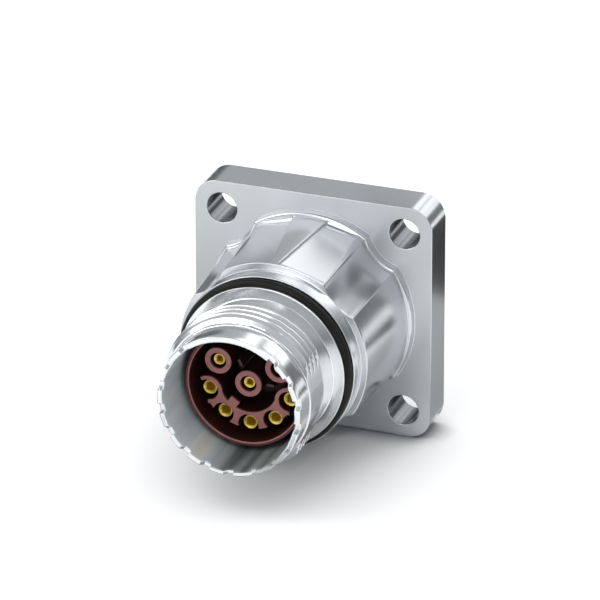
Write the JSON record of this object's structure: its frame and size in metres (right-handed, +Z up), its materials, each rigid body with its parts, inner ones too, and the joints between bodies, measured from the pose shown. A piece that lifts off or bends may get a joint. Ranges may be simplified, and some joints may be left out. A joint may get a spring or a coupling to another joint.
{
  "type": "panel-mounted circular connector",
  "caption": "Circular socket connector with a square mounting flange, threaded coupling sleeve, notched rim and gold contacts in a dark insulating insert.",
  "frame": {"origin": "centre of the flange's back face, on the mating axis", "axes": "+Z up along the flange, +Y from the socket through the flange into the panel; the socket faces -Y"},
  "size_m": [0.026, 0.0297, 0.026],
  "materials": {
    "cast_nickel": "satin nickel plate over a die casting",
    "turned_nickel": "bright nickel plate over turned brass",
    "seal_rubber": "dull black rubber",
    "insulator": "dark red-brown moulded plastic, satin",
    "gold_plate": "gold plate"
  },
  "bodies": {
    "root": {"flange_housing": "cast_nickel", "threaded_sleeve": "turned_nickel", "retaining_ring": "turned_nickel", "coupling_seal": "seal_rubber", "flange_seal": "seal_rubber", "front_insert": "insulator", "rear_insert": "insulator", "contact_1": "gold_plate", "contact_cap_1": "gold_plate", "contact_2": "gold_plate", "contact_cap_2": "gold_plate", "contact_3": "gold_plate", "contact_cap_3": "gold_plate", "contact_4": "gold_plate", "contact_cap_4": "gold_plate", "contact_5": "gold_plate", "contact_cap_5": "gold_plate", "contact_6": "gold_plate", "contact_cap_6": "gold_plate", "contact_7": "gold_plate", "contact_cap_7": "gold_plate", "contact_8": "gold_plate", "contact_cap_8": "gold_plate"}
  },
  "joints": []
}
